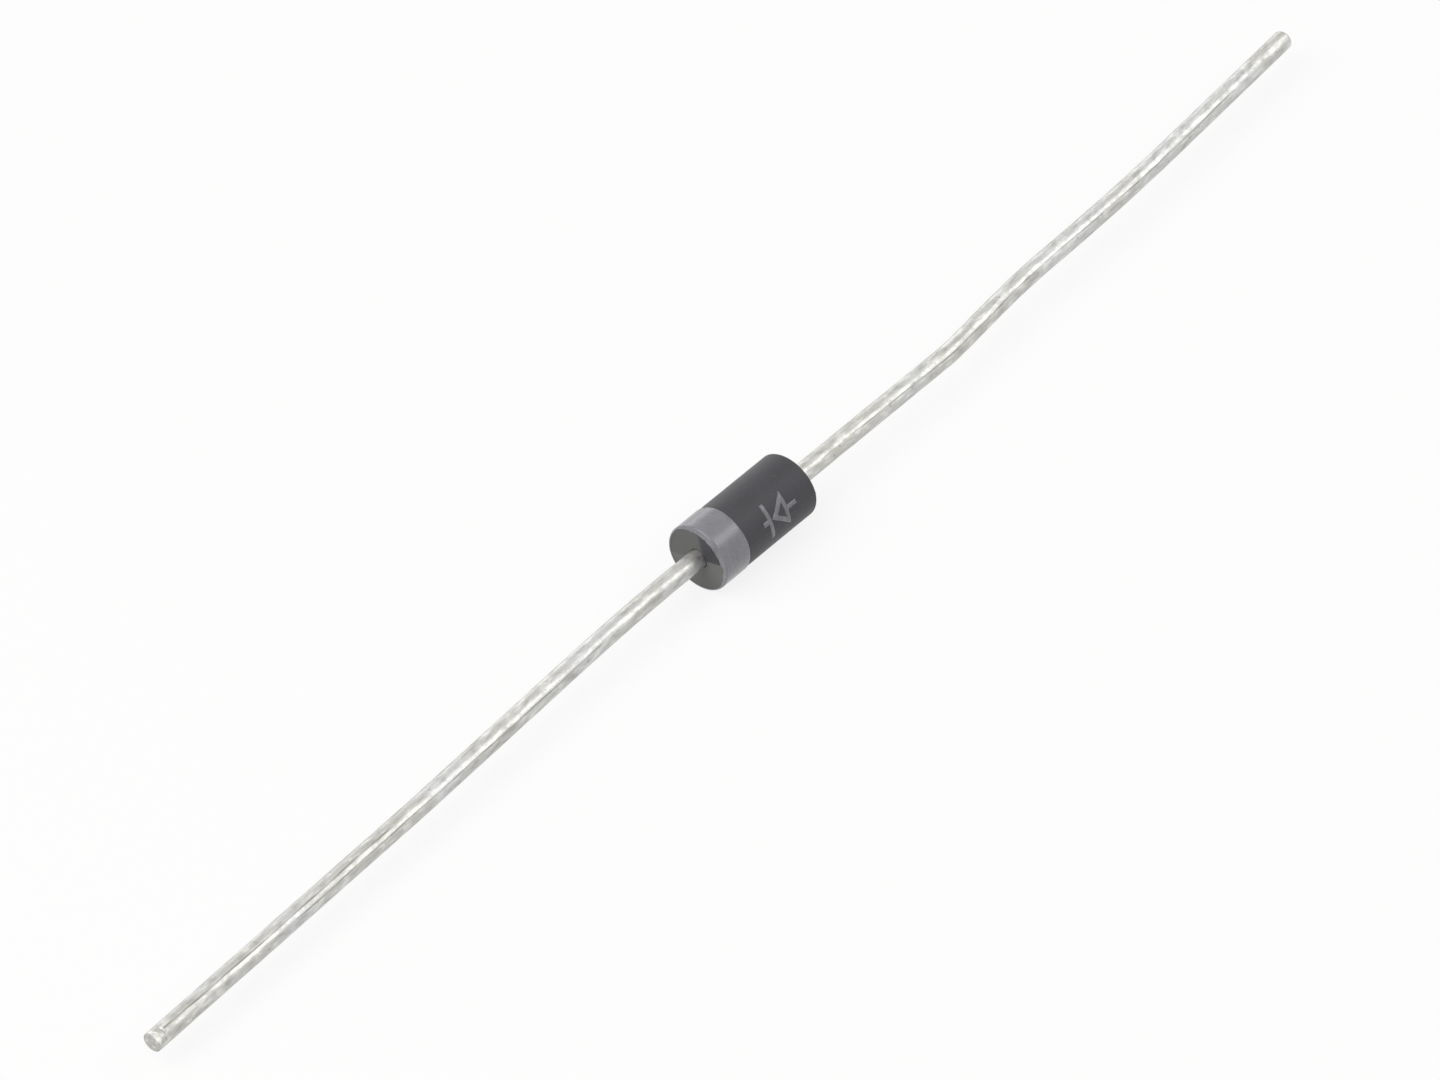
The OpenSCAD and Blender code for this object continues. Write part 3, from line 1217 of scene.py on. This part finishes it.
    def head_rows(self, angle: Array) -> list[Array]:
        """Rings of the nail head and the neck on a straight wire.

        Args:
            angle: Angles of the points of each ring.

        Returns:
            Points of each ring.
        """
        start, end, wide, chamfer = WIRE.head_start, WIRE.head_end, WIRE.head_diameter / 2, 0.04
        outline = [
            (start, 0.25),
            (start, 0.5),
            (start, wide - chamfer),
            (start + chamfer, wide),
            (end - chamfer, wide),
            (end, wide - chamfer),
        ]
        for t in np.linspace(0.12, 1.0, 5):
            outline.append((end + t * WIRE.neck_length, wide + t * (WIRE.radius - wide)))
        return [ring(s, r, angle) for s, r in outline]

    def build(self, material: bpy.types.Material) -> bpy.types.Object:
        """Builds the lead as one closed skin from the head's inner face to the free end.

        Args:
            material: Tinned copper wire.

        Returns:
            The lead.
        """
        angle = np.linspace(0.0, FULL_TURN, self.around, endpoint=False)
        length = self.length()
        fine_from = length - self.fine_length
        count = int((fine_from - WIRE.neck_end) / self.pitch)
        shank = np.linspace(WIRE.neck_end, fine_from, count)
        rows = self.head_rows(angle)
        for stretch in (shank, np.linspace(fine_from, length, self.fine_rows)):
            s = stretch[1:, None] + 0.0 * angle
            rows.extend(ring(s, self.worn_radius(s, angle + 0.0 * s), angle))
        edge = self.worn_radius(np.full_like(angle, length), angle)
        rows += [ring(length, share * edge, angle) for share in np.linspace(1.0, 0.0, 22)[1:-1]]
        local = np.stack(rows)
        s, p, q = local[..., 0], local[..., 1], local[..., 2]
        share = np.clip((s - fine_from) / self.fine_length, 0.0, 1.0)
        pressed = self.end_cut(s - length, p, q, share) + np.array([length, 0.0, 0.0])
        local = np.where((s > fine_from - 0.01)[..., None], pressed, local)
        poles = np.stack([[WIRE.head_start, 0.0, 0.0], local[-1].mean(axis=0)])
        flat = np.concatenate([local.reshape(-1, 3), poles])
        faces = band_faces(len(rows), self.around, False, True)
        start = len(rows) * self.around
        last = start - self.around
        for i in range(self.around):
            j = (i + 1) % self.around
            faces += [(start, j, i), (start + 1, last + i, last + j)]
        if self.side is End.ANODE:
            faces = [face[::-1] for face in faces]
        turn, radius = np.arctan2(flat[:, 2], flat[:, 1]), np.hypot(flat[:, 1], flat[:, 2])
        # the score share paints the scores darker in the wire's material, as painted shade in their grooves
        painted_score_shade = sum((self.scored(score, flat[:, 0], turn) for score in self.scores), np.zeros(len(flat)))
        painted_score_shade = np.clip(painted_score_shade * smoothstep(0.9 * WIRE.radius, 0.97 * WIRE.radius, radius), 0.0, 1.0)
        attributes = {"wire_space": flat * MM, "score": painted_score_shade}
        points = self.place(flat)
        return make_piece(self.name, points, faces, material, self.node, attributes)


@dataclass(frozen=True)
class CutterEnd:
    """Free end cut by side cutters: a slanting face, a bevel beside it and a nick behind it."""

    slant: float = math.radians(8.0)
    bevel: float = 0.2
    roll: float = math.radians(190.0)
    nick_back: float = 0.42
    nick_depth: float = 0.07
    blend: float = 0.012

    def __call__(self, s: Array, p: Array, q: Array, share: Array) -> Array:
        """Presses the end of a straight wire to its cut shape.

        Args:
            s: Place along the wire from its free end, 0 or less.
            p: First coordinate across the wire.
            q: Second coordinate across the wire.
            share: 0 where the pressing starts and 1 at the end.

        Returns:
            New places along the wire and new coordinates across it, on the last axis.
        """
        up = -p * math.sin(self.roll) + q * math.cos(self.roll)
        side = p * math.cos(self.roll) + q * math.sin(self.roll)
        slanted = -up * math.tan(self.slant)
        bevelled = (WIRE.radius - self.bevel) - up
        limit = np.minimum(smooth_least(slanted, bevelled, self.blend), 0.0)
        new_s = s * (1.0 - share) + (s + limit) * share
        floor = WIRE.radius - self.nick_depth + np.abs(new_s + self.nick_back)
        new_up = smooth_least(up, floor, self.blend)
        new_p = side * math.cos(self.roll) - new_up * math.sin(self.roll)
        new_q = side * math.sin(self.roll) + new_up * math.cos(self.roll)
        return np.stack([new_s, new_p, new_q], axis=-1)


@dataclass(frozen=True)
class RolledEnd:
    """Free end whose rim the cut rolled over, with a shallow dent beside the middle."""

    rim: float = 0.16
    dent: float = 0.05
    dent_place: tuple[float, float] = (-0.12, 0.05)
    dent_size: tuple[float, float] = (0.12, 0.16)

    def __call__(self, s: Array, p: Array, q: Array, share: Array) -> Array:
        """Presses the end of a straight wire to its rounded shape.

        Args:
            s: Place along the wire from its free end, 0 or less.
            p: First coordinate across the wire.
            q: Second coordinate across the wire.
            share: 0 where the pressing starts and 1 at the end; not used here.

        Returns:
            New places along the wire and new coordinates across it, on the last axis.
        """
        least, inner = 1e-6, WIRE.radius - self.rim
        r = np.hypot(p, q)
        shoulder = np.clip(s + self.rim, 0.0, self.rim)
        limit_r = inner + np.sqrt(np.maximum(self.rim**2 - shoulder**2, 0.0))
        on_end = np.minimum(r, WIRE.radius) * inner / WIRE.radius
        new_r = np.where(s < -least, np.minimum(r, limit_r), on_end)
        scale = np.where(r > least, new_r / np.maximum(r, least), 1.0)
        new_p, new_q = p * scale, q * scale
        off_p = (new_p - self.dent_place[0]) / self.dent_size[0]
        off_q = (new_q - self.dent_place[1]) / self.dent_size[1]
        dent = self.dent * np.exp(-(off_p**2) - off_q**2)
        return np.stack([s - dent * smoothstep(-0.2, 0.0, s), new_p, new_q], axis=-1)


# ---------------------------------------------------------------- studio


@dataclass(frozen=True)
class Lamp:
    """Soft rectangular studio lamp, aimed at the barrel."""

    name: str
    place: tuple[float, float, float]
    size: tuple[float, float]
    power: float
    tint: str = "#ffffff"

    def build(self) -> bpy.types.Object:
        """Builds the lamp.

        Returns:
            The lamp's object.
        """
        light = bpy.data.lights.new(self.name, "AREA")
        light.shape = "RECTANGLE"
        light.size, light.size_y = self.size[0] * MM, self.size[1] * MM
        light.energy = self.power
        light.color = linear(self.tint)[:3]
        lamp = add_object(self.name, light)
        place = Vector(self.place) * MM
        lamp.location = place
        lamp.rotation_euler = (-place).to_track_quat("-Z", "Y").to_euler()
        return lamp


@dataclass(frozen=True)
class Studio:
    """White paper floor, soft lamps, pale surroundings and the camera."""

    floor_z: float
    azimuth: float = math.radians(-50.6)
    elevation: float = math.radians(42.2)
    distance: float = 441.6
    lens: float = 309.3
    aside: float = 0.831
    below: float = 0.662
    ambience: float = 0.44
    sensor: float = 36.0
    floor_size: float = 3.0  # metres
    lamps: tuple[Lamp, ...] = (
        Lamp("key_lamp", (-260.0, 120.0, 330.0), (420.0, 420.0), 1.4, "#fffdfa"),
        Lamp("streak_lamp", (286.0, -220.0, 345.0), (420.0, 130.0), 0.46, "#ffffff"),
        Lamp("edge_lamp", (250.0, 350.0, 80.0), (300.0, 130.0), 0.12, "#ffffff"),
    )

    def build(self, paper: bpy.types.Material) -> None:
        """Builds the floor, the lamps, the world and the camera.

        Args:
            paper: Material of the floor.
        """
        mesh = bpy.data.meshes.new("paper_floor")
        half = self.floor_size / 2
        corners = [(-half, -half), (half, -half), (half, half), (-half, half)]
        mesh.from_pydata([(x, y, self.floor_z * MM) for x, y in corners], [], [(0, 1, 2, 3)])
        mesh.materials.append(paper)
        add_object("paper_floor", mesh)
        for lamp in self.lamps:
            lamp.build()
            LOG.info("%s built", lamp.name)
        self.surroundings()
        self.camera()

    def surroundings(self) -> None:
        """Makes the world white where it is seen or reflected, and a dimmer light elsewhere."""
        world = bpy.data.worlds.new("white_room")
        bpy.context.scene.world = world
        world.use_nodes = True
        world.node_tree.nodes.clear()
        seen = seen_rays(world)
        strength = add_node(
            world, "ShaderNodeMapRange", inputs={"Value": seen, "To Min": self.ambience, "To Max": 1.0}
        )
        inputs = {"Color": WHITE, "Strength": strength.outputs[0]}
        back = add_node(world, "ShaderNodeBackground", inputs=inputs)
        add_node(world, "ShaderNodeOutputWorld", inputs={"Surface": back.outputs[0]})

    def camera(self) -> None:
        """Sets up the camera and makes it the scene's own."""
        back = Vector(
            (
                math.sin(self.azimuth) * math.cos(self.elevation),
                -math.cos(self.azimuth) * math.cos(self.elevation),
                math.sin(self.elevation),
            )
        )
        right = Vector((0.0, 0.0, 1.0)).cross(back).normalized()
        up = back.cross(right)
        target = -self.aside * right - self.below * up
        data = bpy.data.cameras.new("camera")
        data.sensor_width = self.sensor
        data.lens = self.lens
        data.clip_start, data.clip_end = 0.01, 10.0
        camera = add_object("camera", data)
        turn = Matrix((right, up, back)).transposed().to_4x4()
        camera.matrix_world = Matrix.Translation((target + self.distance * back) * MM) @ turn
        bpy.context.scene.camera = camera


# ---------------------------------------------------------------- assembly


def corners_mm(pair: tuple[Vector, Vector]) -> tuple[Array, Array]:
    """Turns a box's two corners to millimetres."""
    return np.array(pair[0]) / MM, np.array(pair[1]) / MM


def dress_inner_pieces(nodes: dict[str, bpy.types.Object]) -> None:
    """Gives the chip, its solder and its coating their materials.

    Args:
        nodes: The CAD model's objects by name.
    """
    solder = InnerFinish("soft_solder", "#c3c6c8", "#a5a8ab", 0.12, 1.0, 0.38, 0.006).build()
    finishes = {
        "silicon_die": InnerFinish("lapped_silicon", "#5b6473", "#48505d", 0.05, 1.0, 0.22, 0.001).build(),
        "cathode_solder": solder,
        "anode_solder": solder,
        "junction_coating": InnerFinish("cured_silicone", "#ece9e2", "#dcd8cf", 0.4, 0.0, 0.42, 0.01).build(),
    }
    for name, material in finishes.items():
        for material_slot in nodes[name].material_slots:
            material_slot.material = material
        LOG.info("%s dressed", name)


def main() -> None:
    """Builds the dressed part on its frame, then the studio round it."""
    logging.basicConfig(level=logging.INFO, format="%(message)s")
    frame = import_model()

    barrel_low, barrel_high = corners_mm(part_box("moulded_barrel"))
    band_low, band_high = corners_mm(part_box("cathode_band"))
    cad_flash = 0.02
    diameter = float(barrel_high[2] - barrel_low[2])
    length = float(barrel_high[0] - barrel_low[0]) - 2.0 * cad_flash
    ink = float(band_high[2] - barrel_high[2])

    epoxy, printed, tinned = FilledEpoxy().build(), PrintedInk().build(), TinnedWire().build()

    barrel = Barrel(diameter=diameter, length=length)
    barrel.build(epoxy)
    CathodeBand(barrel=barrel, ink=ink, width=1.32).build(printed)
    DiodeSign(barrel=barrel, ink=ink, length=1.8, height=1.35).build(printed)

    Lead(
        name="cathode_wire",
        node="cathode_lead",
        side=End.CATHODE,
        roll=math.radians(196.0),
        reach=30.543,
        runs=(Run(0.8, 2.7, 130.0), Run(8.5, -0.8, 80.0)),
        scores=(
            Score(math.radians(109.0), 20.0, 33.0),
            Score(math.radians(141.0), 8.0, 26.0, 0.035, 0.004),
            Score(math.radians(300.0), 5.0, 30.0, 0.05, 0.005),
        ),
        end_cut=CutterEnd(),
        seed=5,
        barrel_end=length / 2,
    ).build(tinned)
    Lead(
        name="anode_wire",
        node="anode_lead",
        side=End.ANODE,
        roll=math.radians(-4.0),
        reach=31.203,
        runs=(Run(8.8, 6.0, 10.0), Run(2.6, -5.0, 38.0), Run(0.4, 3.6, 120.0)),
        scores=(
            Score(math.radians(136.0), 4.0, 30.0, 0.035, 0.004),
            Score(math.radians(20.0), 6.0, 31.0, 0.05, 0.005),
        ),
        end_cut=RolledEnd(),
        seed=8,
        barrel_end=length / 2,
    ).build(tinned)
    dress_inner_pieces(frame["nodes"])

    Studio(floor_z=float(band_low[2])).build(StudioPaper().build())
    scene = bpy.context.scene
    scene.view_settings.view_transform = "Standard"


if __name__ == "__main__":
    main()
